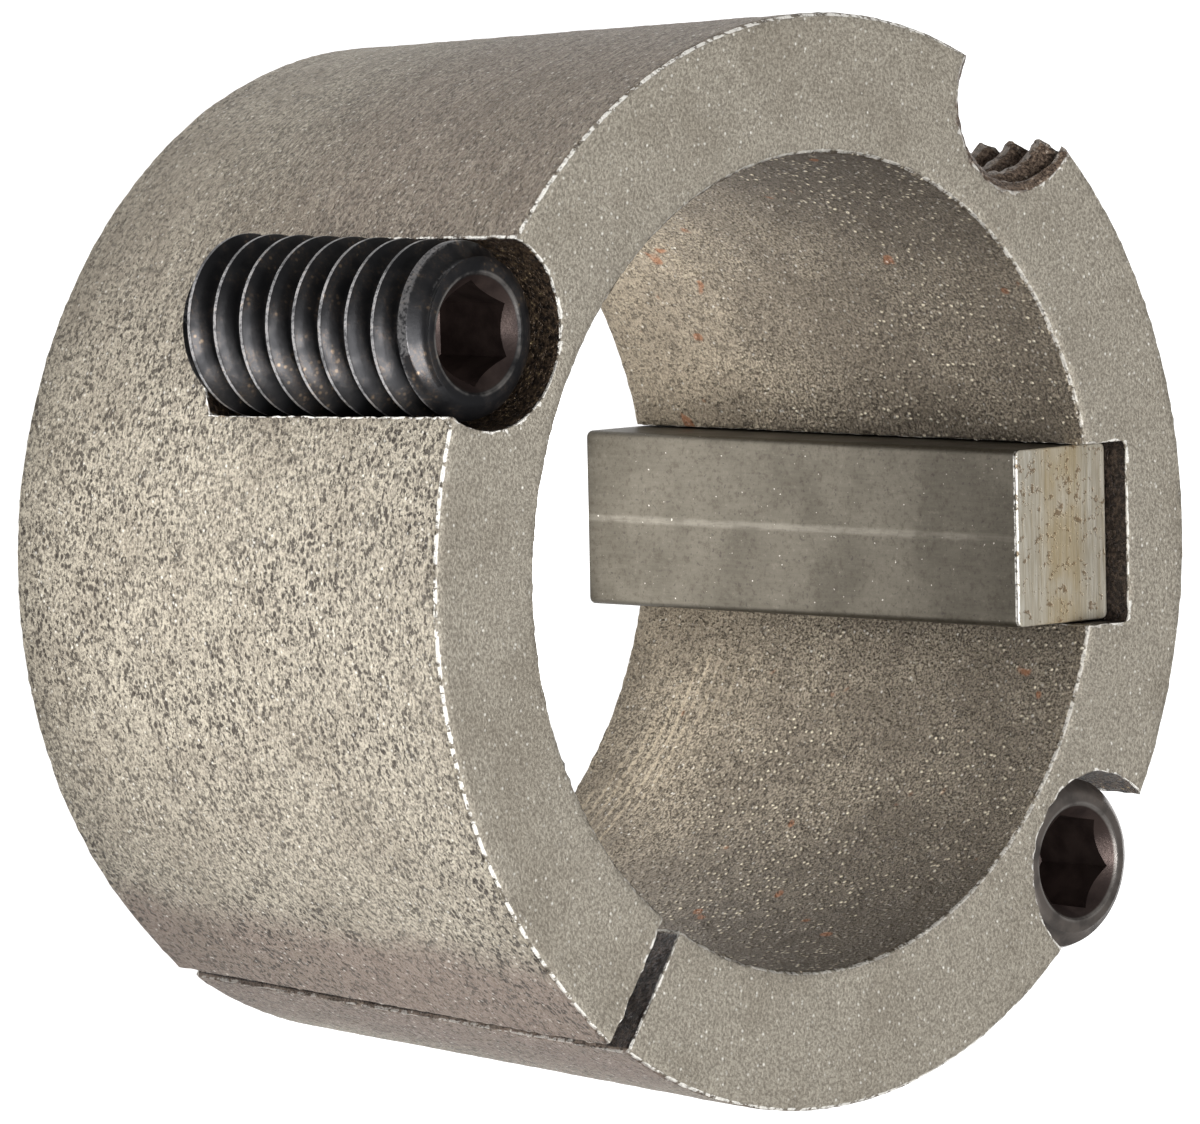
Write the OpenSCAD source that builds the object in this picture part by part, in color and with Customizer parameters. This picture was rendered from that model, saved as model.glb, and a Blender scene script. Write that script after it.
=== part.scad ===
// Split taper bush with its key in the bore and two set screws in the rim, standing on its small end.
// Z runs along the shaft from the small end (z = 0) to the large end, and the keyway faces +X.

/* [Bush] */
// Diameter of the large end
large_d = 38.4; // [37:0.1:42]
// Length along the shaft
bush_len = 22.2; // [18:0.1:30]
// Included angle of the taper, in degrees
taper_angle = 8; // [6:0.5:9]
// Diameter of the shaft bore
bore_d = 28.6; // [24:0.1:28.8]
// Width of the bevel on the turned edges
edge_break = 0.15; // [0.05:0.05:0.3]
// Width of the slit that lets the bush close on the shaft
slit_w = 0.95; // [0.6:0.05:2]
// How far the slit is cut to one side of the line through the axis
slit_offset = 0.35; // [0:0.05:0.8]

/* [Key] */
// Width of the key
key_w = 6.35; // [4:0.05:8]
// Height of the key
key_h = 4.75; // [3:0.05:6]
// Radius of the key's long edges
key_edge_r = 0.25; // [0.1:0.05:0.5]
// Distance from the large end down to the key's end
key_recess = 1; // [0.5:0.1:4]
// Depth of the keyway into the bore's wall
keyway_depth = 1.8; // [1.2:0.05:2]
// Radius in the keyway's two floor corners
keyway_corner_r = 0.2; // [0.05:0.05:0.3]
// Gap between the key and each side of the keyway
key_clearance = 0.05; // [0.02:0.01:0.2]

/* [Set screws] */
// Outside diameter of the thread
screw_d = 6.35; // [5.5:0.05:6.5]
// Pitch of the thread
thread_pitch = 1.27; // [0.9:0.01:1.5]
// Length of a screw
screw_len = 12.7; // [9:0.1:14]
// Distance from the large end down to a screw's head end
screw_recess = 0.8; // [0.2:0.1:2]
// Bevel at the head end
head_bevel = 0.75; // [0.3:0.05:0.85]
// Diameter of the cup point's rim
cup_d = 3.2; // [2.6:0.1:4]
// Depth of the cup in the point
cup_depth = 0.9; // [0.4:0.1:1.4]
// Width of the hex socket across its flats
socket_w = 3.18; // [2.5:0.01:3.4]
// Depth of the hex socket
socket_depth = 3.4; // [2:0.1:5]
// Width of the bevel round the socket's mouth
socket_bevel = 0.25; // [0.1:0.05:0.3]
// How far the first and the second screw are turned in their half-holes, in degrees
screw_turns = [0, -30]; // [-180:1:180]

/* [Half-holes] */
// Distance from the large end's rim in to the centre of a plain half-hole
plain_setback = 0.7; // [0.2:0.05:0.8]
// Gap between a set screw and the wall of its half-hole, on the radius
plain_clearance = 0.2; // [0.1:0.05:0.3]
// Point angle of the drill that left the half-holes' blind ends, in degrees
drill_angle = 118; // [90:1:135]
// Distance from the large end's rim in to the centre of the tapped half-hole
tapped_setback = 0.2; // [0:0.05:0.6]
// Play between the tapped thread and a screw, on the radius
thread_play = 0.05; // [0.02:0.01:0.1]
// Angle from the keyway to the tapped half-hole, in degrees
tapped_angle = 55.5; // [45:0.5:65]
// Angle from the tapped half-hole to each plain half-hole, in degrees
plain_angle = 95.4; // [85:0.1:110]

/* [Hidden] */
$fn = 96;

// Gap left under a loose piece where it rests on the bush
rest_gap = 0.02;
// How far a cutting shape runs past the face that it opens
past = 1;
// Straight steps in one turn of a thread, and the turns that a thread runs past each end of its piece
thread_steps = 32;
spare_turns = 1;

taper_slope = tan(taper_angle / 2);
large_r = large_d / 2;
small_r = large_r - bush_len * taper_slope;
bore_r = bore_d / 2;
keyway_floor = bore_r + keyway_depth;
slit_angle = tapped_angle + 180;

screw_r = screw_d / 2;
cup_r = cup_d / 2;
// Depths of an outside and an inside thread of unified form, from its pitch
outside_depth = 0.6134 * thread_pitch;
inside_depth = 0.5413 * thread_pitch;
tapped_r = screw_r + thread_play;
tapped_centre = large_r - tapped_setback;

// A screw lies against the inner wall of its half-hole and stands on the drilled cone at the end of it
plain_r = screw_r + plain_clearance;
plain_centre = large_r - plain_setback;
screw_offset = plain_clearance - rest_gap;
screw_centre = plain_centre - screw_offset;
screw_point_z = bush_len - screw_recess - screw_len;
drill_slope = tan(90 - drill_angle / 2);
plain_end_z = screw_point_z - rest_gap + (plain_r - cup_r - screw_offset) * drill_slope;
plain_tip_z = plain_end_z - plain_r * drill_slope;

// The four corners of one thread ridge: radius and height, from the root below it to the root above it
function ridge(crest_r, root_r, pitch) = [
    [root_r, 0],
    [crest_r, 5 / 16 * pitch],
    [crest_r, 7 / 16 * pitch],
    [root_r, 3 / 4 * pitch],
];

// A right-hand thread as one solid: the ridge wound up a helix from z = -pitch past z = len
module thread(crest_r, root_r, pitch, len) {
    corners = ridge(crest_r, root_r, pitch);
    n = len(corners);
    turns = ceil(len / pitch) + 1 + spare_turns;
    last = turns * thread_steps;
    base = -spare_turns * pitch;
    winding = [
        for (i = [0 : last]) let (a = 360 * i / thread_steps)
            for (c = corners) [c[0] * cos(a), c[0] * sin(a), base + c[1] + pitch * i / thread_steps]
    ];
    bottom_hub = len(winding);
    top_hub = bottom_hub + 1;
    hubs = [[0, 0, base], [0, 0, base + pitch * turns]];
    // Strips up the ridge's three sides, and the root strip that joins a turn to the next one
    sides = [
        for (i = [0 : last - 1])
            for (k = [0 : n - 2]) [n * i + k, n * i + k + 1, n * (i + 1) + k + 1, n * (i + 1) + k]
    ];
    roots = [
        for (i = [0 : last - thread_steps - 1])
            [n * i + n - 1, n * (i + thread_steps), n * (i + 1 + thread_steps), n * (i + 1) + n - 1]
    ];
    // Fans that close the two ends, out to the ridge's end profile
    bottom = concat(
        [for (i = [0 : thread_steps - 1]) [bottom_hub, n * (i + 1), n * i]],
        [for (k = [0 : n - 2]) [bottom_hub, k, k + 1]],
        [[bottom_hub, n - 1, n * thread_steps]]
    );
    first_top = n * last;
    top = concat(
        [for (i = [last - thread_steps : last - 1]) [top_hub, n * i + n - 1, n * (i + 1) + n - 1]],
        [for (k = [n - 1 : -1 : 1]) [top_hub, first_top + k, first_top + k - 1]],
        [[top_hub, first_top, n * (last - thread_steps) + n - 1]]
    );
    walls = [for (f = concat(sides, roots)) each [[f[0], f[2], f[1]], [f[0], f[3], f[2]]]];
    polyhedron(concat(winding, hubs), concat(walls, bottom, top), convexity = 2 * turns);
}

// A rectangle from x0 to x1 and w wide, with all four corners rounded
module rounded_bar(x0, x1, w, r) {
    translate([x0 + r, -w / 2]) square([x1 - x0 - 2 * r, w]);
    translate([x0, r - w / 2]) square([x1 - x0, w - 2 * r]);
    for (x = [x0 + r, x1 - r])
        for (y = [r - w / 2, w / 2 - r])
            translate([x, y]) circle(r, $fn = 24);
}

// The turned body: a taper outside, a plain bore inside, and all four edges bevelled
module turned_body() {
    foot_r = small_r + edge_break * taper_slope;
    rim_r = large_r - edge_break * taper_slope;
    rotate_extrude()
        polygon([
            [bore_r, edge_break],
            [bore_r + edge_break, 0],
            [foot_r - edge_break, 0],
            [foot_r, edge_break],
            [rim_r, bush_len - edge_break],
            [rim_r - edge_break, bush_len],
            [bore_r + edge_break, bush_len],
            [bore_r, bush_len - edge_break],
        ]);
}

// The slit, right through one side of the wall
module slit() {
    rotate([0, 0, slit_angle])
        translate([bore_r - past, slit_offset - slit_w / 2, -past])
            cube([large_r - bore_r + 2 * past, slit_w, bush_len + 2 * past]);
}

// The keyway along the whole bore, with rounded floor corners
module keyway() {
    keyway_w = key_w + 2 * key_clearance;
    translate([0, 0, -past])
        linear_extrude(bush_len + 2 * past)
            rounded_bar(bore_r - keyway_depth - past, keyway_floor, keyway_w, keyway_corner_r);
}

// A blind drilled hole, half of which lies in the bush, for the side and the end of a set screw
module plain_half_hole() {
    translate([plain_centre, 0, plain_end_z]) cylinder(r = plain_r, h = bush_len - plain_end_z + past);
    translate([plain_centre, 0, plain_tip_z]) cylinder(r1 = 0, r2 = plain_r, h = plain_end_z - plain_tip_z);
}

// The tapped half-hole that a screw is driven into to push the bush out again, bevelled at its mouth.
// Its thread is a stack of ring grooves with the screws' pitch, which keeps the bush's faces true surfaces.
module tapped_half_hole() {
    minor_r = tapped_r - inside_depth;
    grooves = ceil(bush_len / thread_pitch) + 2 * spare_turns;
    bottom = -spare_turns * thread_pitch;
    rows = [
        for (i = [0 : grooves - 1])
            for (c = ridge(tapped_r, minor_r, thread_pitch)) [c[0], bottom + i * thread_pitch + c[1]]
    ];
    top = bottom + grooves * thread_pitch;
    translate([tapped_centre, 0, 0]) {
        rotate_extrude() polygon(concat([[0, bottom]], rows, [[minor_r, top], [0, top]]));
        translate([0, 0, bush_len - tapped_r])
            cylinder(r1 = 0, r2 = tapped_r + past, h = tapped_r + past);
    }
}

// A set screw standing on its cup point at z = 0, with the hex socket at its head end
module set_screw() {
    difference() {
        intersection() {
            thread(screw_r, screw_r - outside_depth, thread_pitch, screw_len);
            rotate_extrude()
                polygon([
                    [0, cup_depth],
                    [cup_r, 0],
                    [screw_r + past, screw_r + past - cup_r],
                    [screw_r + past, screw_len - head_bevel - past],
                    [screw_r - head_bevel, screw_len],
                    [0, screw_len],
                ]);
        }
        translate([0, 0, screw_len - socket_depth])
            cylinder(d = socket_w / cos(30), h = socket_depth + past, $fn = 6);
        mouth_r = socket_w / 2 / cos(30) + socket_bevel;
        translate([0, 0, screw_len - 2 * socket_bevel])
            cylinder(r1 = mouth_r - 2 * socket_bevel, r2 = mouth_r + past, h = 2 * socket_bevel + past);
    }
}

// A set screw where it stands in the half-hole at one side of the tapped one
module seated_set_screw(side, turn) {
    rotate([0, 0, tapped_angle + side * plain_angle])
        translate([screw_centre, 0, screw_point_z])
            rotate([0, 0, turn])
                set_screw();
}

module bush() {
    color([0.56, 0.54, 0.50])
        difference() {
            turned_body();
            slit();
            keyway();
            for (side = [1, -1])
                rotate([0, 0, tapped_angle + side * plain_angle]) plain_half_hole();
            rotate([0, 0, tapped_angle]) tapped_half_hole();
        }
}

module key() {
    color([0.50, 0.48, 0.44])
        linear_extrude(bush_len - key_recess)
            rounded_bar(keyway_floor - rest_gap - key_h, keyway_floor - rest_gap, key_w, key_edge_r);
}

module set_screw_1() {
    color([0.16, 0.16, 0.18]) seated_set_screw(1, screw_turns[0]);
}

module set_screw_2() {
    color([0.16, 0.16, 0.18]) seated_set_screw(-1, screw_turns[1]);
}

bush();
key();
set_screw_1();
set_screw_2();
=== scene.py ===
"""Looks of a split taper bush: a grainy grey casting, a sawn steel key and two black set screws,
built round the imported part."""

import math

import bmesh
import bpy
from mathutils import Matrix, Vector, noise


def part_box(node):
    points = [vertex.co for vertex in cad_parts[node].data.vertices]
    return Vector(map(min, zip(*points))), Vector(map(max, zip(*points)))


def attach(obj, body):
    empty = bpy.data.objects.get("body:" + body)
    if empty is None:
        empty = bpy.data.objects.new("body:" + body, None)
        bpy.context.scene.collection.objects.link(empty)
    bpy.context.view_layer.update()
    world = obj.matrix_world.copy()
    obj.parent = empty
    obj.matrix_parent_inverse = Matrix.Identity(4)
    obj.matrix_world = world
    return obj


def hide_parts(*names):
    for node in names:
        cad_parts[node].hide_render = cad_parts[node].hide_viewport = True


MM = 0.001
TURN = math.tau

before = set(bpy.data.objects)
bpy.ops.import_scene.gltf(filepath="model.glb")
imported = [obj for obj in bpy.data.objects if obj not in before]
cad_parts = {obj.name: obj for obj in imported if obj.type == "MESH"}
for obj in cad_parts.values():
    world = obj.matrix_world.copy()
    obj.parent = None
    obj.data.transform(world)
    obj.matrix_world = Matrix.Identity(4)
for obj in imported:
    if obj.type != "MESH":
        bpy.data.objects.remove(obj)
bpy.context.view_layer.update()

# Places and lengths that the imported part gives
bush_low, bush_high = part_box("bush")
key_low, key_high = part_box("key")
LENGTH = bush_high.z
TAPER_ANGLE = 8
TAPER_SLOPE = math.tan(math.radians(TAPER_ANGLE / 2))

# A row longer than any outline here, which leaves its edges whole
WHOLE = 8 * MM

# Sizes of the casting
LARGE_R = 19.2 * MM
SMALL_R = LARGE_R - LENGTH * TAPER_SLOPE
BORE_R = 14.3 * MM
RIM_ROUND = 0.16 * MM
GRAIN = 0.3 * MM
BORE_STEPS = 432
ROUND_STEPS = 80
SLIT_W = 0.95 * MM
SLIT_OFFSET = 0.35 * MM
LIP_RISE = 0.22 * MM
LIP_REACH = 4 * MM
KEYWAY_W = 6.45 * MM
KEYWAY_FLOOR = 16.1 * MM
KEYWAY_CORNER = 0.2 * MM
KEY_ROUND = 0.25 * MM
KEY_END_BREAK = 0.09 * MM

# Sizes of the set screws and of the half-holes that hold them. The head's dome is given in head
# bevels, in from the thread's crest and down from the end
PITCH = 1.27 * MM
SCREW_R = 3.175 * MM
SCREW_ROOT_R = 2.396 * MM
SCREW_LENGTH = 12.7 * MM
CUP_R = 1.6 * MM
CUP_DEPTH = 0.9 * MM
HEAD_BEVEL = 0.75 * MM
HEAD_DOME = [(0, 1.33), (0.28, 0.62), (0.60, 0.24), (0.85, 0.07), (1.05, 0)]
SOCKET_FLAT_R = 1.59 * MM
SOCKET_DEPTH = 3.4 * MM
SOCKET_MOUTH_R = 2.09 * MM
SCREW_STEPS = 120
PLAIN_R = 3.375 * MM
PLAIN_OFFSET = 0.18 * MM
DRILL_ANGLE = 118
DRILL_SLOPE = math.tan(math.radians(90 - DRILL_ANGLE / 2))
REST_GAP = 0.02 * MM
TAPPED_R = 3.225 * MM
TAPPED_ROOT_R = 2.54 * MM
TAPPED_SETBACK = 0.2 * MM
TAPPED_CENTRE = LARGE_R - TAPPED_SETBACK


def middle(low, high):
    return (low + high) / 2


screw_boxes = [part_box("set_screw_1"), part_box("set_screw_2")]
screw_axes = [middle(*box).to_2d() for box in screw_boxes]
screw_foot = screw_boxes[0][0].z
slit_direction = sum((axis.normalized() for axis in screw_axes), Vector((0, 0))).normalized()
SLIT_ANGLE = math.atan2(slit_direction.y, slit_direction.x)
TAPPED_ANGLE = SLIT_ANGLE + math.pi
half_hole_centres = [axis.normalized() * (axis.length + PLAIN_OFFSET) for axis in screw_axes]
tapped_centre = Vector((math.cos(TAPPED_ANGLE), math.sin(TAPPED_ANGLE))) * TAPPED_CENTRE
half_hole_end = screw_foot - REST_GAP + (PLAIN_R - CUP_R - PLAIN_OFFSET) * DRILL_SLOPE


# ---------------------------------------------------------------- making shapes


def finished(bm, name):
    """The object that a bmesh ends as, at the origin."""
    bmesh.ops.recalc_face_normals(bm, faces=bm.faces[:])
    mesh = bpy.data.meshes.new(name)
    bm.to_mesh(mesh)
    bm.free()
    piece = bpy.data.objects.new(name, mesh)
    bpy.context.scene.collection.objects.link(piece)
    return piece


def long_edges(bm, axis):
    """The edges of a straight shape that run along one axis."""
    return [e for e in bm.edges if abs((e.verts[1].co - e.verts[0].co).normalized()[axis]) > 0.99]


def gridded(bm, step):
    """Splits a box into squares of about one step."""
    for axis in range(3):
        edges = long_edges(bm, axis)
        pieces = round(edges[0].calc_length() / step)
        if pieces > 1:
            bmesh.ops.subdivide_edges(bm, edges=edges, cuts=pieces - 1, use_grid_fill=True)


def spun(bm, steps, turns=1, rise=0.0):
    """Spins the wire in a bmesh about Z, with an even rise where it is a thread."""
    steps = round(steps * turns)
    bmesh.ops.spin(
        bm,
        geom=bm.verts[:] + bm.edges[:],
        cent=(0, 0, 0),
        axis=(0, 0, 1),
        dvec=(0, 0, rise * turns / steps),
        angle=TURN * turns,
        steps=steps,
        use_merge=rise == 0,
    )
    bmesh.ops.remove_doubles(bm, verts=bm.verts[:], dist=0.0001 * MM)
    bmesh.ops.recalc_face_normals(bm, faces=bm.faces[:])


def split_in_rows(bm, row):
    """Splits each edge of a wire in steps of about one row."""
    for edge in bm.edges[:]:
        pieces = round(edge.calc_length() / row)
        if pieces > 1:
            bmesh.ops.subdivide_edges(bm, edges=[edge], cuts=pieces - 1)


def outline_wire(bm, corners, row):
    """A wire through (radius, height) corners, in steps of about one row."""
    verts = [bm.verts.new((radius, 0, height)) for radius, height in corners]
    for start, end in zip(verts, verts[1:]):
        bm.edges.new((start, end))
    split_in_rows(bm, row)


def turned(corners, steps, row):
    """A solid that is turned on a lathe, from an outline that starts and ends on the axis."""
    bm = bmesh.new()
    outline_wire(bm, corners, row)
    spun(bm, steps)
    return bm


def turned_ring(corners, rounding, steps, row):
    """A turned ring, from the corners of its closed section, which are rounded."""
    bm = bmesh.new()
    bm.faces.new([bm.verts.new((radius, 0, height)) for radius, height in corners])
    bmesh.ops.bevel(
        bm, geom=bm.verts[:], affect="VERTICES", offset=rounding, segments=3, profile=0.5, material=-1
    )
    bmesh.ops.delete(bm, geom=bm.faces[:], context="FACES_ONLY")
    split_in_rows(bm, row)
    spun(bm, steps)
    return bm


def threaded_rod(crest_r, root_r, low, high, steps, crest_round):
    """A rod with a right-hand thread: one ridge is wound up past both ends, which are then cut square."""
    bm = bmesh.new()
    first_turn = math.floor(low / PITCH) - 1
    soft = crest_round / PITCH
    depth = crest_r - root_r
    ridge = [
        (root_r, -1 / 8),
        (root_r + 0.06 * depth, -0.03),
        (root_r + 0.24 * depth, 0.06),
        (crest_r - crest_round, 5 / 16 - soft / 2),
        (crest_r, 5 / 16 + soft / 2),
        (crest_r, 7 / 16 - soft / 2),
        (crest_r - crest_round, 7 / 16 + soft / 2),
        (root_r + 0.24 * depth, 0.69),
        (root_r + 0.06 * depth, 0.78),
        (root_r, 7 / 8),
    ]
    outline_wire(bm, [(radius, (first_turn + turn) * PITCH) for radius, turn in ridge], GRAIN)
    spun(bm, steps, math.ceil((high - low) / PITCH) + 3, PITCH)
    for height, side in ((low, -1), (high, 1)):
        bmesh.ops.bisect_plane(
            bm,
            geom=bm.verts[:] + bm.edges[:] + bm.faces[:],
            plane_co=(0, 0, height),
            plane_no=(0, 0, side),
            clear_outer=True,
        )
    bmesh.ops.holes_fill(bm, edges=[e for e in bm.edges if e.is_boundary], sides=0)
    return bm


def moved(bm, angle, radius, height=0.0, turn=0.0):
    """Carries a shape to its angle and radius on the bush."""
    place = Matrix.Rotation(angle, 4, "Z") @ Matrix.Translation((radius, 0, height))
    bmesh.ops.transform(bm, matrix=place @ Matrix.Rotation(turn, 4, "Z"), verts=bm.verts[:])
    return bm


def carved(piece, cutters, operation="DIFFERENCE"):
    """Cuts the shapes out of a piece, or keeps only what they share, and throws them away."""
    tools = [finished(bm, "cutter") for bm in cutters]
    for tool in tools:
        cut = piece.modifiers.new("cut", "BOOLEAN")
        cut.operation = operation
        cut.solver = "MANIFOLD"
        cut.object = tool
    mesh = bpy.data.meshes.new_from_object(piece.evaluated_get(bpy.context.evaluated_depsgraph_get()))
    piece.modifiers.clear()
    piece.data = mesh
    mesh.name = piece.name
    for tool in tools:
        bpy.data.objects.remove(tool)


def sharp_corners(bm, least_degrees):
    """The vertices on edges that turn by more than an angle."""
    least = math.radians(least_degrees)
    return {v for e in bm.edges if e.calc_face_angle(0) > least for v in e.verts}


def shade(piece, sharp_degrees):
    piece.data.shade_smooth()
    piece.data.set_sharp_from_angle(angle=math.radians(sharp_degrees))


# ---------------------------------------------------------------- the casting


def slit_cutter():
    bm = bmesh.new()
    bmesh.ops.create_cube(bm, size=1)
    bmesh.ops.scale(bm, vec=(8 * MM, SLIT_W, LENGTH + 2 * MM), verts=bm.verts[:])
    gridded(bm, GRAIN)
    bmesh.ops.translate(bm, vec=(0, SLIT_OFFSET, 0), verts=bm.verts[:])
    return moved(bm, SLIT_ANGLE, middle(BORE_R, LARGE_R), LENGTH / 2)


def keyway_cutter():
    bm = bmesh.new()
    bmesh.ops.create_cube(bm, size=1)
    depth = 3 * MM
    bmesh.ops.scale(bm, vec=(depth, KEYWAY_W, LENGTH + 2 * MM), verts=bm.verts[:])
    floor_corners = [e for e in long_edges(bm, 2) if e.verts[0].co.x > 0]
    bmesh.ops.bevel(
        bm, geom=floor_corners, affect="EDGES", offset=KEYWAY_CORNER, segments=2, profile=0.5, material=-1
    )
    for axis, length in ((2, LENGTH), (1, KEYWAY_W), (0, depth)):
        pieces = round(length / GRAIN)
        bmesh.ops.subdivide_edges(bm, edges=long_edges(bm, axis), cuts=pieces, use_grid_fill=True)
    return moved(bm, 0, KEYWAY_FLOOR - depth / 2, LENGTH / 2)


def half_hole_cutter(centre):
    """The drill that made a plain half-hole, down to the cone that its screw stands on."""
    tip = half_hole_end - PLAIN_R * DRILL_SLOPE
    corners = [(0, tip), (PLAIN_R, half_hole_end), (PLAIN_R, LENGTH + MM), (0, LENGTH + MM)]
    bm = turned(corners, ROUND_STEPS, GRAIN)
    return moved(bm, math.atan2(centre.y, centre.x), centre.length)


def tap_cutter():
    bm = threaded_rod(TAPPED_R, TAPPED_ROOT_R, -MM, LENGTH + MM, 72, 0.06 * MM)
    return moved(bm, TAPPED_ANGLE, TAPPED_CENTRE)


def tap_mouth_cutter():
    corners = [(0, LENGTH - TAPPED_R), (TAPPED_R + MM, LENGTH + MM), (0, LENGTH + MM)]
    bm = turned(corners, ROUND_STEPS, GRAIN)
    return moved(bm, TAPPED_ANGLE, TAPPED_CENTRE)


def from_slit(place):
    """A place's distance out along the slit, and across it from the line through the axis."""
    return Matrix.Rotation(-SLIT_ANGLE, 2) @ place.to_2d()


def lip_rise(place):
    """How far the lip on one side of the slit stands proud of the taper."""
    out, across = from_slit(place)
    if out < 0 or across > 0:
        return 0
    near = max(0, 1 + across / LIP_REACH)
    return LIP_RISE * near * near * max(0, (out - BORE_R) / (LARGE_R - BORE_R))


def roughened(piece):
    """Gives the casting its grain: beads in the bore, fine on the faces, and crumbled along every edge."""
    bm = bmesh.new()
    bm.from_mesh(piece.data)
    bmesh.ops.remove_doubles(bm, verts=bm.verts[:], dist=0.02 * MM)
    bm.normal_update()
    edge_wear_and_highlight = bm.verts.layers.float.new("edge_wear_and_highlight")
    corners = sharp_corners(bm, 20)
    grains = []
    for vert in bm.verts:
        radius = vert.co.to_2d().length
        in_bore = radius < BORE_R + 0.05 * MM
        on_face = abs(vert.normal.z) > 0.9
        out, across = from_slit(vert.co)
        in_slit = out > 0 and abs(across - SLIT_OFFSET) < SLIT_W / 2 + 0.03 * MM
        vert.co += Vector((vert.co.x, vert.co.y, 0)) / radius * lip_rise(vert.co)
        in_tap = (vert.co.to_2d() - tapped_centre).length < TAPPED_R - 0.1 * MM
        torn = in_slit or in_tap
        depth = 0.07 if torn else 0.030 if in_bore else 0.012 if on_face else 0.022
        bumps = noise.noise(vert.co / (0.42 * MM))
        fine = noise.noise(vert.co / (0.21 * MM) + Vector((7, 3, 5)))
        swell = noise.noise(vert.co / (2.4 * MM))
        height = depth * (bumps + 0.7 * fine) + 0.012 * swell
        if in_bore:
            height += 0.16 * max(0, bumps - 0.12) * max(0, 0.5 + swell)
        if vert in corners:
            crumble = noise.noise(vert.co / (0.33 * MM) + Vector((2, 9, 4)))
            height = (0.09 if torn else 0.055) * crumble + 0.02 * fine - 0.03
            vert[edge_wear_and_highlight] = 1
        grains.append(vert.co + vert.normal * height * MM)
    for vert, place in zip(bm.verts, grains):
        vert.co = place
    for vert in bm.verts:
        if vert.co.z < 0:
            vert.co.z = 0
    bm.to_mesh(piece.data)
    bm.free()


def bush_casting():
    section = [(BORE_R, 0), (SMALL_R, 0), (LARGE_R, LENGTH), (BORE_R, LENGTH)]
    bush = finished(turned_ring(section, RIM_ROUND, BORE_STEPS, GRAIN), "bush_casting")
    cutters = [slit_cutter(), keyway_cutter(), tap_cutter(), tap_mouth_cutter()]
    cutters += [half_hole_cutter(centre) for centre in half_hole_centres]
    carved(bush, cutters)
    roughened(bush)
    shade(bush, 40)
    return bush


# ---------------------------------------------------------------- the key


def steel_key():
    """A sawn length of drawn bar, with its long edges rounded and its ends barely broken."""
    bm = bmesh.new()
    bmesh.ops.create_cube(bm, size=1)
    bmesh.ops.scale(bm, vec=key_high - key_low, verts=bm.verts[:])
    bmesh.ops.translate(bm, vec=middle(key_low, key_high), verts=bm.verts[:])
    bmesh.ops.bevel(
        bm, geom=long_edges(bm, 2), affect="EDGES", offset=KEY_ROUND, segments=4, profile=0.5, material=-1
    )
    ends = [f for f in bm.faces if abs(f.normal.z) > 0.9]
    end_edges = list({e for f in ends for e in f.edges})
    bmesh.ops.bevel(
        bm, geom=end_edges, affect="EDGES", offset=KEY_END_BREAK, segments=2, profile=0.5, material=-1
    )
    bm.verts.layers.float.new("edge_wear_and_highlight")
    key = finished(bm, "bore_key")
    shade(key, 50)
    return key


def flattened(piece):
    """Keeps the large faces of a bevelled piece flat to the light."""
    piece.modifiers.new("flat_faces", "WEIGHTED_NORMAL").keep_sharp = True
    return piece


# ---------------------------------------------------------------- the set screws


def screw_blank():
    """The turned blank of a set screw, with its cup point and the bevel at its head."""
    past = SCREW_R + MM
    cup = [(0, CUP_DEPTH), (CUP_R - 0.08 * MM, 0.03 * MM), (CUP_R, 0), (CUP_R + 0.08 * MM, 0.03 * MM)]
    dome = [(SCREW_R - inset * HEAD_BEVEL, SCREW_LENGTH - drop * HEAD_BEVEL) for inset, drop in HEAD_DOME]
    sides = [(past, past - CUP_R), (past, dome[0][1] - MM)]
    return turned(cup + sides + dome + [(0, SCREW_LENGTH)], SCREW_STEPS, 0.4 * MM)


def socket_cutter():
    """The hex socket, with the cone of the drill at its bottom."""
    corner_r = SOCKET_FLAT_R / math.cos(math.pi / 6)
    bottom = SCREW_LENGTH - SOCKET_DEPTH
    past = SCREW_LENGTH + MM
    return turned([(0, bottom - 0.7 * MM), (corner_r, bottom), (corner_r, past), (0, past)], 6, WHOLE)


def socket_mouth_cutter():
    """The countersink round the mouth of the socket."""
    bottom = SCREW_LENGTH - 0.5 * MM
    past = SCREW_LENGTH + MM
    corners = [(0, bottom), (SOCKET_MOUTH_R - 0.5 * MM, bottom), (SOCKET_MOUTH_R + MM, past), (0, past)]
    return turned(corners, SCREW_STEPS, WHOLE)


def set_screw(name, axis, turn_degrees):
    rod = threaded_rod(SCREW_R, SCREW_ROOT_R, -MM, SCREW_LENGTH + MM, 96, 0.03 * MM)
    screw = finished(rod, name)
    carved(screw, [screw_blank()], "INTERSECT")
    carved(screw, [socket_cutter(), socket_mouth_cutter()])
    bm = bmesh.new()
    bm.from_mesh(screw.data)
    bmesh.ops.remove_doubles(bm, verts=bm.verts[:], dist=0.004 * MM)
    edge_wear_and_highlight = bm.verts.layers.float.new("edge_wear_and_highlight")
    for vert in sharp_corners(bm, 25):
        vert[edge_wear_and_highlight] = vert.co.z < SCREW_LENGTH - 0.3 * MM
    moved(bm, math.atan2(axis.y, axis.x), axis.length, screw_foot, math.radians(turn_degrees))
    bm.to_mesh(screw.data)
    bm.free()
    shade(screw, 30)
    return screw


# ---------------------------------------------------------------- shader expressions


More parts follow.
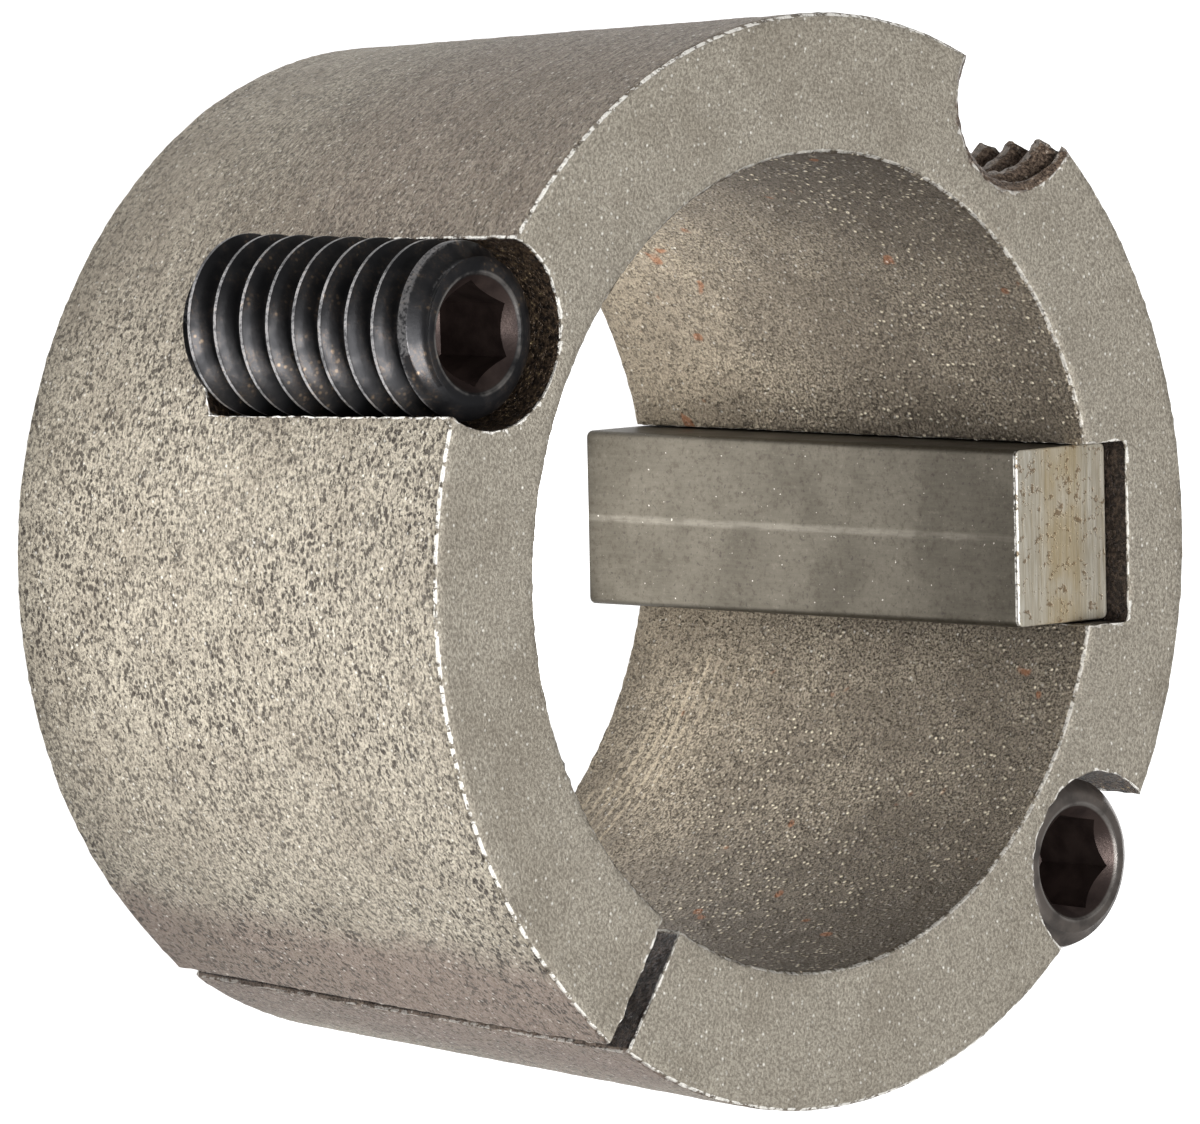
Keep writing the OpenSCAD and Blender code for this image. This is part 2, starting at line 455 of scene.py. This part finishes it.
class Value:
    """A socket in a shader expression: + - * / and abs() on it add Math nodes."""

    def __init__(self, shader, socket):
        self.shader = shader
        self.socket = socket

    def math(self, operation, *inputs):
        return self.shader.node("ShaderNodeMath", dict(enumerate(inputs)), operation=operation)

    def __add__(self, other):
        return self.math("ADD", self, other)

    def __sub__(self, other):
        return self.math("SUBTRACT", self, other)

    def __mul__(self, other):
        return self.math("MULTIPLY", self, other)

    def __truediv__(self, other):
        return self.math("DIVIDE", self, other)

    def __rsub__(self, other):
        return self.math("SUBTRACT", other, self)

    def __abs__(self):
        return self.math("ABSOLUTE", self)

    def at_most(self, other):
        return self.math("MINIMUM", self, other)

    def at_least(self, other):
        return self.math("MAXIMUM", self, other)

    __radd__ = __add__
    __rmul__ = __mul__


class Shader:
    """The node tree of one material, in millimetres."""

    def __init__(self, name):
        self.material = bpy.data.materials.new(name)
        self.material.use_nodes = True
        self.tree = self.material.node_tree
        self.tree.nodes.clear()
        place = self.node("ShaderNodeTexCoord", out="Object")
        self.place = self.scaled(place, 1 / MM)
        self.flat = self.stretched(self.place, z=0)

    def node(self, kind, inputs=None, out=0, **settings):
        """Adds a node: its settings first, then the values or links of its sockets."""
        node = self.tree.nodes.new(kind)
        for setting, choice in settings.items():
            setattr(node, setting, choice)
        for key, value in (inputs or {}).items():
            if isinstance(value, Value):
                self.tree.links.new(value.socket, node.inputs[key])
            else:
                node.inputs[key].default_value = value
        return Value(self, node.outputs[out])

    def scaled(self, vector, factor):
        return self.node("ShaderNodeVectorMath", {0: vector, "Scale": factor}, operation="SCALE")

    def stretched(self, vector, x=1.0, y=1.0, z=1.0):
        return self.node("ShaderNodeVectorMath", {0: vector, 1: (x, y, z)}, operation="MULTIPLY")

    def shifted(self, vector, step):
        return self.node("ShaderNodeVectorMath", {0: vector, 1: step}, operation="ADD")

    def turned(self, vector, angle):
        return self.node("ShaderNodeMapping", {"Vector": vector, "Rotation": (0, 0, angle)})

    def length(self, vector):
        return self.node("ShaderNodeVectorMath", {0: vector}, out="Value", operation="LENGTH")

    def from_axis(self, centre):
        """The distance from an upright axis, in millimetres."""
        x, y = centre / MM
        inputs = {0: self.flat, 1: (x, y, 0)}
        return self.node("ShaderNodeVectorMath", inputs, out="Value", operation="DISTANCE")

    def parts(self, vector):
        x = self.node("ShaderNodeSeparateXYZ", {0: vector})
        outputs = x.socket.node.outputs
        return [Value(self, outputs[i]) for i in range(3)]

    def vector(self, x, y, z):
        return self.node("ShaderNodeCombineXYZ", {0: x, 1: y, 2: z})

    def noise(self, vector, size, detail=3.0, roughness=0.55):
        """Noise from 0 to 1 with features of about one size, in millimetres."""
        inputs = {"Vector": vector, "Scale": 1 / size, "Detail": detail, "Roughness": roughness}
        return self.node("ShaderNodeTexNoise", inputs)

    def cells(self, vector, size):
        """Cells of about one size: the distance from their middles, and one random tone for each."""
        distance = self.node("ShaderNodeTexVoronoi", {"Vector": vector, "Scale": 1 / size})
        colour = Value(self, distance.socket.node.outputs["Color"])
        return distance, self.parts(colour)[0]

    def beads(self, vector, size):
        """Round beads from 0 at their edge to 1 at their middle, some higher than others."""
        distance, tone = self.cells(vector, size)
        return self.span(distance, 0.46, 0.12) * self.span(tone, 0.3, 0.8)

    def span(self, value, low, high, start=0.0, end=1.0):
        """Goes smoothly from start to end while the value goes from low to high."""
        inputs = {"Value": value, "From Min": low, "From Max": high, "To Min": start, "To Max": end}
        return self.node("ShaderNodeMapRange", inputs, interpolation_type="SMOOTHSTEP")

    def mix(self, factor, first, second):
        """Mixes two colours."""
        inputs = {0: factor, 6: first, 7: second}
        return self.node("ShaderNodeMix", inputs, out=2, data_type="RGBA", clamp_factor=True)

    def attribute(self, name):
        return self.node("ShaderNodeAttribute", out="Fac", attribute_name=name)

    def bump(self, height, distance):
        """A bump, with the height of 1 in millimetres."""
        return self.node("ShaderNodeBump", {"Height": height, "Distance": distance * MM, "Strength": 1.0})

    def surface(self, **sockets):
        """Ends the tree in one Principled shader, with its sockets named as in base_color."""
        inputs = {
            name.replace("_", " ").title().replace("Ior", "IOR"): value for name, value in sockets.items()
        }
        shader = self.node("ShaderNodeBsdfPrincipled", inputs)
        output = self.tree.nodes.new("ShaderNodeOutputMaterial")
        self.tree.links.new(shader.socket, output.inputs["Surface"])
        return self.material


def tint(red, green, blue):
    """A colour from its screen values, 0 to 255."""

    def linear(value):
        share = value / 255
        return share / 12.92 if share <= 0.04045 else ((share + 0.055) / 1.055) ** 2.4

    return (linear(red), linear(green), linear(blue), 1)


# ---------------------------------------------------------------- finishes


def cast_iron():
    """Grey sintered iron: a grainy skin, a brown bore with painted light and shade, black oil in the holes,
    and worn edges with a painted highlight.
    """
    s = Shader("cast_iron")
    length, bore_r, large_r, small_r = (size / MM for size in (LENGTH, BORE_R, LARGE_R, SMALL_R))
    # Turned so that the seam of the angle lies in the slit
    x, y, z = s.parts(s.turned(s.place, math.pi - SLIT_ANGLE))
    place_x, place_y, _ = s.parts(s.place)
    radius = s.length(s.flat)
    angle = s.node("ShaderNodeMath", {0: y, 1: x}, operation="ARCTAN2")
    lathe_place = s.vector(angle * (large_r / 1.25), z, radius)

    # Where the surfaces are
    on_top = s.span(z, length - 0.1, length - 0.04)
    in_bore = s.span(radius, bore_r + 0.22, bore_r + 0.12) * (1 - on_top)
    to_cone = (half_hole_end / MM - z).at_least(0) / DRILL_SLOPE
    reaches = [s.from_axis(centre) + to_cone for centre in half_hole_centres]
    in_holes = s.span(reaches[0].at_most(reaches[1]), PLAIN_R / MM + 0.08, PLAIN_R / MM + 0.04)
    in_thread = s.span(s.from_axis(tapped_centre), TAPPED_R / MM + 0.3, TAPPED_R / MM + 0.1)
    in_thread = in_thread * s.span(z, length, length - 0.04)
    under_skin = s.span(radius - z * TAPER_SLOPE, small_r - 0.12, small_r - 0.2)
    in_slit = s.span(abs(y + SLIT_OFFSET / MM), SLIT_W / MM / 2 + 0.25, SLIT_W / MM / 2 + 0.2)
    in_slit = in_slit * s.span(x, -13, -13.5) * under_skin * s.span(radius, bore_r + 0.12, bore_r + 0.2)
    in_keyway = s.span(abs(place_y), KEYWAY_W / MM / 2 + 0.07, KEYWAY_W / MM / 2 + 0.04)
    keyway_floor = KEYWAY_FLOOR / MM
    in_keyway = in_keyway * s.span(place_x, bore_r + 0.05, bore_r + 0.2)
    in_keyway = in_keyway * s.span(place_x, keyway_floor + 0.2, keyway_floor + 0.1)
    oiled_and_shaded = in_holes.at_least(in_slit).at_least(in_keyway) * (1 - on_top)
    on_flank = (1 - on_top) * (1 - in_bore) * (1 - oiled_and_shaded) * (1 - in_thread)
    in_scratches = in_bore * s.span(abs(z - place_y * 0.55 - 7.9), 1.9, 1.1) * s.span(place_x, 0, 1)
    in_scratches = in_scratches * s.span(place_y, -4.4, -5.6) * s.span(place_y, -12.6, -11.4)

    # The skin: torn grains round the flank, marks of the lathe where it is smoother, beads of iron that stand
    # up in the bore, and glints everywhere
    grains = s.noise(lathe_place, 0.11, 3, 0.7)
    pits = s.noise(lathe_place, 0.18, 2, 0.7)
    marks = s.noise(s.vector(angle * (large_r / 9), z, radius), 0.22, 2, 0.6)
    patches = s.noise(s.place, 6, 2, 0.5)
    clouds = s.noise(s.place, 3.5, 3, 0.6)
    bead_zones = in_bore * s.span(patches, 0.35, 0.6, 0.35, 1.0) * s.span(z + clouds * 6, 6, 12, 0.3, 1.0)
    bead_size = 0.25
    raised = s.beads(s.place, bead_size) * in_bore
    beads = raised * bead_zones
    # A painted shadow on one side of each bead: the beads again, moved a little
    painted_bead_shadows = s.beads(s.shifted(s.place, (0, 0.05, -0.1)), bead_size) * bead_zones * (1 - beads)
    pit_distance, _ = s.cells(lathe_place, 0.23)
    round_pits = s.span(pit_distance, 0.5, 0.3) * s.span(s.noise(lathe_place, 0.7, 1, 0.6), 0.44, 0.61)
    glint_distance, glint_tone = s.cells(s.place, 0.26)
    sparks = s.span(glint_distance, 0.3, 0.08) * s.span(glint_tone, 0.4, 1.0)
    glints = sparks * (on_top * 0.8 + on_flank * 0.5 + in_bore * 0.5)
    scratch_step = 0.52
    wave = (z - place_y * 0.1) * (TURN / scratch_step) + clouds * 4
    wave = s.node("ShaderNodeMath", {0: wave}, operation="SINE")
    scratches = s.span(wave, 0.1, 0.9) * s.span(patches, 0.35, 0.55, 0.4, 1.0) * in_scratches

    # How deep the pits are: less on the face, in the bore, and towards both sides of the flank
    ragged_y = place_y + clouds * 6
    calm = s.span(ragged_y, 15, 8) * s.span(ragged_y, -17, -10)
    pit_depth = on_flank * s.span(patches, 0.3, 0.6, 0.6, 1.0) * (calm * 0.55 + 0.45)
    pit_depth = pit_depth + in_bore * s.span(patches, 0.35, 0.6, 0.25, 0.6) + on_top * 0.15
    torn = s.span(pits, 0.463, 0.344)
    pitted = torn.at_least(round_pits * on_flank) * pit_depth

    # The flank
    flank_colour = s.mix(s.span(grains, 0.34, 0.64), tint(104, 97, 86), tint(168, 160, 144))
    flank_colour = s.mix(s.span(marks, 0.54, 0.44, 0.0, 0.5) * (1 - calm), flank_colour, tint(104, 94, 82))
    # Darker and browner towards the large end, paler towards the small end, on both sides of the flank
    flank_colour = s.mix((1 - calm) * s.span(z, 5, 13, 0.0, 0.4), flank_colour, tint(112, 96, 86))
    flank_colour = s.mix((1 - calm) * s.span(z, 9, 2, 0.0, 0.35), flank_colour, tint(178, 168, 152))
    beside_slit = s.span(abs(y) + clouds * 2, 6.5, 4) * s.span(x, -13, -14)
    flank_colour = s.mix(beside_slit * 0.75, flank_colour, tint(112, 96, 87))

    # The bore: painted light towards the small end, painted shade towards the large end and both sides
    bore_colour = s.mix(s.span(grains, 0.38, 0.62), tint(84, 75, 64), tint(166, 155, 136))
    bore_colour = s.mix(s.span(clouds, 0.4, 0.6, 0.0, 0.3), bore_colour, tint(96, 87, 76))
    low_side = s.span(place_y, -2, -8)
    # Painted light: paler towards the small end, less so on the low side
    painted_small_end_light = s.span(z + clouds * 5, 12, 3, 0.0, 0.42) * (1 - low_side * 0.8)
    bore_colour = s.mix(painted_small_end_light, bore_colour, tint(172, 158, 136))
    # Painted shade: darker towards the large end and towards both sides
    painted_bore_shade = s.span(z + clouds * 6, 8, 20, 0.0, 0.3) + s.span(abs(place_y) + clouds * 3, 10, 16, 0.0, 0.5)
    bore_colour = s.mix(painted_bore_shade * (1 - low_side * 0.2 * s.span(z, 10, 16)), bore_colour, tint(66, 58, 51))
    # Painted shadow beside the beads, the beads painted lighter as if lit, and a painted highlight at their
    # cores
    bore_colour = s.mix(painted_bead_shadows * 0.5, bore_colour, tint(58, 50, 42))
    bore_colour = s.mix(beads * 0.65, bore_colour, tint(212, 200, 178))
    bore_colour = s.mix(s.span(beads, 0.4, 0.85, 0.0, 0.6), bore_colour, tint(240, 230, 206))
    bore_colour = s.mix(scratches * 0.45, bore_colour, tint(192, 178, 154))
    rust = s.span(s.noise(s.place, 1.3, 1, 0.6), 0.72, 0.76)
    bore_colour = s.mix(rust * 0.7, bore_colour, tint(148, 92, 54))

    # All of the dry skin, with its pits and glints
    face_colour = s.mix(s.span(grains, 0.32, 0.68), tint(125, 118, 107), tint(177, 170, 156))
    colour = s.mix(in_bore, flank_colour, bore_colour)
    colour = s.mix(on_top, colour, face_colour)
    colour = s.mix(s.span(clouds, 0.45, 0.65, 0.0, 0.22), colour, tint(104, 94, 80))
    colour = s.mix(pitted * 0.95, colour, tint(48, 40, 32))
    colour = s.mix(glints * 0.85, colour, tint(248, 245, 236))

    # Oil in the holes, oil with painted shade in the slit and the keyway, and grime with painted glints in
    # the thread
    oil_grains = s.noise(s.place, 0.17, 2, 0.65)
    oil = s.mix(s.span(oil_grains, 0.36, 0.62), tint(36, 29, 25), tint(96, 80, 64))
    oil = s.mix(s.span(oil_grains, 0.64, 0.72), oil, tint(168, 148, 112))
    # Darker oil with painted shade, for the slit and the keyway
    dark_oil_and_recess_shade = s.mix(s.span(oil_grains, 0.4, 0.7), tint(38, 31, 28), tint(82, 70, 62))
    oil = s.mix(in_slit.at_least(in_keyway), oil, dark_oil_and_recess_shade)
    colour = s.mix(oiled_and_shaded, colour, oil)
    thread_grime_and_glints = s.mix(s.span(grains, 0.35, 0.7), tint(62, 49, 41), tint(132, 114, 98))
    # Painted glints on the grime in the thread
    thread_grime_and_glints = s.mix(sparks * 0.7, thread_grime_and_glints, tint(216, 202, 186))
    colour = s.mix(in_thread, colour, thread_grime_and_glints)

    # Ragged worn edges with a painted highlight on their grains, fainter round the bore, in the thread and
    # along the slit
    rim_grains = s.noise(s.place, 0.32, 3, 0.7)
    rim = s.span(s.attribute("edge_wear_and_highlight") + rim_grains * 0.9, 0.95, 1.15)
    rim = rim * s.span(radius, bore_r + 0.5, bore_r + 1.1, 0.5, 1.0) * (1 - in_keyway * (1 - on_top))
    rim = rim * (1 - in_thread * 0.8) * (1 - beside_slit * on_flank * 0.6)
    worn_rim_painted_highlight = rim * s.span(rim_grains, 0.42, 0.52)
    colour = s.mix(rim * 0.4, colour, tint(90, 82, 72))
    # Painted highlight: near-white grains along the worn edges
    colour = s.mix(worn_rim_painted_highlight * 0.8, colour, tint(250, 247, 240))

    rough = s.span(grains, 0.3, 0.7, 0.6, 0.46) - glints * 0.15 - oiled_and_shaded * 0.15
    height = (grains * (1 - on_top * 0.45) - torn * (1 - on_top)) * (1 - in_bore * 0.5) + raised
    return s.surface(
        base_color=colour,
        metallic=0.5,
        roughness=rough,
        specular_ior_level=0.35,
        normal=s.bump(height, 0.1),
    )


def drawn_steel():
    """Dull drawn steel: faint cloudy patches, a light line along the middle, and pale sawn ends."""
    s = Shader("drawn_steel")
    x, y, z = s.parts(s.place)
    long_grain = s.noise(s.stretched(s.place, z=0.12), 0.12, 3, 0.6)
    patches = s.noise(s.place, 2.6, 3, 0.55)
    specks = s.noise(s.place, 0.3, 4, 0.7)
    mottle = s.noise(s.place, 0.22, 4, 0.7)
    saw_lines = s.noise(s.stretched(s.place, y=0.06), 0.14, 3, 0.7)
    end_z = key_high.z / MM
    inner_x = key_low.x / MM
    middle_x = (key_low.x + key_high.x) / 2 / MM
    on_end = s.span(z, end_z - 0.06, end_z - 0.02)

    colour = s.mix(s.span(patches, 0.4, 0.6), tint(69, 64, 54), tint(77, 72, 62))
    colour = s.mix(s.span(long_grain, 0.3, 0.7, 0.0, 0.08), colour, tint(124, 118, 107))
    colour = s.mix(s.span(mottle, 0.48, 0.68, 0.0, 0.6), colour, tint(54, 47, 36))
    colour = s.mix(s.span(mottle, 0.42, 0.3, 0.0, 0.25), colour, tint(112, 106, 95))
    dots = s.noise(s.place, 0.16, 1, 0.5)
    colour = s.mix(s.span(dots, 0.64, 0.7, 0.0, 0.5) * s.span(specks, 0.4, 0.6), colour, tint(36, 30, 24))
    colour = s.mix(s.span(dots, 0.25, 0.2, 0.0, 0.6), colour, tint(206, 200, 190))
    line = s.span(abs(y), 0.2, 0.04) * s.span(long_grain, 0.2, 0.6, 0.3, 1.0)
    line = line * s.span(patches, 0.4, 0.5, 0.5, 1.0)
    colour = s.mix(line * 0.15, colour, tint(176, 170, 158))
    sawn = s.mix(s.span(saw_lines, 0.3, 0.75), tint(172, 162, 142), tint(206, 201, 188))
    tanned = s.span(abs(x - middle_x), 1.5, 0.5) * s.span(patches, 0.36, 0.56, 0.2, 0.6)
    sawn = s.mix(tanned, sawn, tint(180, 159, 118))
    sawn = s.mix(s.span(specks, 0.55, 0.64, 0.0, 0.7), sawn, tint(112, 86, 56))
    colour = s.mix(on_end, colour, sawn)
    # A painted highlight along the inner edge of the sawn end
    painted_edge_highlight = s.span(x, inner_x + 0.14, inner_x + 0.06) * s.span(z, end_z - 0.16, end_z - 0.1)
    colour = s.mix(painted_edge_highlight * s.span(specks, 0.6, 0.45, 0.0, 0.8), colour, tint(238, 236, 230))
    drawn_height = (long_grain * 0.12 + mottle * 0.4) * (1 - on_end)
    height = drawn_height + (saw_lines - s.span(specks, 0.55, 0.64)) * on_end
    return s.surface(
        base_color=colour,
        metallic=0.7,
        roughness=s.span(patches, 0.3, 0.7, 0.5, 0.42),
        normal=s.bump(height, 0.02),
    )


def black_oxide():
    """Black oxide with a sheen of oil, worn along the crests with a painted highlight there, dusty, and brown
    in the socket; a painted highlight rings the socket's mouth and a painted reflection lightens one head.
    """
    s = Shader("black_oxide")
    smear = s.noise(s.place, 0.9, 3, 0.5)
    dust = s.noise(s.place, 0.11, 3, 0.6)
    colour = s.mix(s.span(smear, 0.35, 0.65), tint(34, 34, 36), tint(54, 53, 54))
    colour = s.mix(s.span(dust, 0.45, 0.7, 0.0, 0.3) * s.span(smear, 0.45, 0.55), colour, tint(92, 76, 62))
    colour = s.mix(s.beads(s.place, 0.2) * s.span(smear, 0.5, 0.6) * 0.45, colour, tint(150, 128, 104))
    # The worn crests, lightened as a painted highlight
    edge = s.span(s.attribute("edge_wear_and_highlight") * s.span(dust, 0.1, 0.6) * s.span(smear, 0.3, 0.6, 0.7, 1.0), 0.5, 0.95)
    colour = s.mix(edge * 0.35, colour, tint(150, 148, 148))
    away = [s.from_axis(axis) for axis in screw_axes]
    screw_radius = away[0].at_most(away[1])
    x, y, z = s.parts(s.place)
    socket_floor = (screw_foot + SCREW_LENGTH - SOCKET_DEPTH) / MM - 1
    in_socket = s.span(screw_radius, 2.04, 1.98) * s.span(z, socket_floor, socket_floor + 0.2)
    # A painted reflection, lightening the outer part of the right screw's head
    painted_dome_reflection = s.span(away[1], 3.4, 3.3) * s.span(z, socket_floor + 2.9, socket_floor + 3.6)
    colour = s.mix(painted_dome_reflection * s.span(smear, 0.3, 0.6, 0.4, 0.8), colour, tint(122, 114, 108))
    # A painted highlight round the mouth of the socket
    painted_socket_highlight = s.span(abs(screw_radius - SOCKET_MOUTH_R / MM), 0.11, 0.03)
    painted_socket_highlight = painted_socket_highlight * s.span(z, socket_floor + 3, socket_floor + 4)
    colour = s.mix(painted_socket_highlight * s.span(smear, 0.3, 0.6) * 0.6, colour, tint(150, 146, 142))
    colour = s.mix(in_socket, colour, s.mix(s.span(smear, 0.3, 0.7), tint(50, 40, 38), tint(76, 64, 60)))
    return s.surface(
        base_color=colour,
        metallic=0.7,
        roughness=s.span(smear, 0.3, 0.7, 0.4, 0.28),
        normal=s.bump(smear * 0.8 + dust * 0.5, 0.01),
    )


def white_table():
    """The floor: a pale light table, which shines more beside the flank and in the bore than elsewhere."""
    s = Shader("white_table")
    x, y, z = s.parts(s.place)
    strip = s.span(x, -14, -24) * s.span(x, -90, -70) * s.span(y, -70, -50) * s.span(y, 50, 20)
    under_bore = s.span(s.from_axis(Vector((0, 0))), 12.5, 10)
    far_side = s.span(x, 18, 30)
    shine = strip + under_bore + far_side * 0.3
    dim = s.span(abs(y), 24, 60, 0.26, 0.19)
    return s.surface(
        base_color=(0.2, 0.2, 0.2, 1),
        roughness=0.6,
        emission_color=s.mix(shine.at_least(dim), (0, 0, 0, 1), (1, 1, 1, 1)),
        emission_strength=4.1,
    )


# ---------------------------------------------------------------- the scene


def dressed(piece, node, material):
    """A finished piece in place of its CAD node."""
    piece.data.materials.clear()
    piece.data.materials.append(material)
    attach(piece, "root")
    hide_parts(node)


def table():
    bm = bmesh.new()
    bmesh.ops.create_grid(bm, x_segments=1, y_segments=1, size=1.5)
    floor = finished(bm, "table_top")
    floor.data.materials.append(white_table())


def softbox(name, direction, distance, size, power):
    """A square soft light at one distance from the bush, aimed at its middle."""
    light = bpy.data.lights.new(name, "AREA")
    light.shape = "SQUARE"
    light.size = size
    light.energy = power
    lamp = bpy.data.objects.new(name, light)
    aim = Vector(direction).normalized()
    lamp.location = aim * distance + Vector((0, 0, LENGTH / 2))
    lamp.rotation_euler = aim.to_track_quat("Z", "Y").to_euler()
    bpy.context.scene.collection.objects.link(lamp)


def camera():
    """A long lens, looking down at the large end from the -X side, with the +Y axis upright."""
    heading, elevation, roll = (math.radians(a) for a in (-96.15, 43.77, 93.1))
    target = Vector((0.18, -0.42, 11.33)) * MM
    distance = 488.8 * MM
    lens = bpy.data.cameras.new("camera")
    lens.sensor_width = 36
    lens.lens = 413.45
    lens.clip_start = 0.01
    lens.clip_end = 10
    eye = bpy.data.objects.new("camera", lens)
    turn = Matrix.Rotation(heading, 4, "Z") @ Matrix.Rotation(math.pi / 2 - elevation, 4, "X")
    turn = turn @ Matrix.Rotation(roll, 4, "Z")
    eye.matrix_world = Matrix.Translation(target) @ turn @ Matrix.Translation((0, 0, distance))
    bpy.context.scene.collection.objects.link(eye)
    bpy.context.scene.camera = eye


def studio():
    """Even white surroundings, one large light overhead, and colours shown as they are."""
    world = bpy.data.worlds.new("studio")
    world.use_nodes = True
    background = world.node_tree.nodes["Background"]
    background.inputs["Color"].default_value = (1, 1, 1, 1)
    background.inputs["Strength"].default_value = 0.2
    bpy.context.scene.world = world
    softbox("overhead_softbox", (-0.3, -0.15, 0.95), 0.6, 0.4, 5.5)
    view = bpy.context.scene.view_settings
    view.view_transform = "Standard"
    view.look = "None"


camera()
table()
studio()
casting = cast_iron()
dressed(bush_casting(), "bush", casting)
dressed(flattened(steel_key()), "key", drawn_steel())
oxide = black_oxide()
dressed(set_screw("left_set_screw", screw_axes[0], 0), "set_screw_1", oxide)
dressed(set_screw("right_set_screw", screw_axes[1], -30), "set_screw_2", oxide)
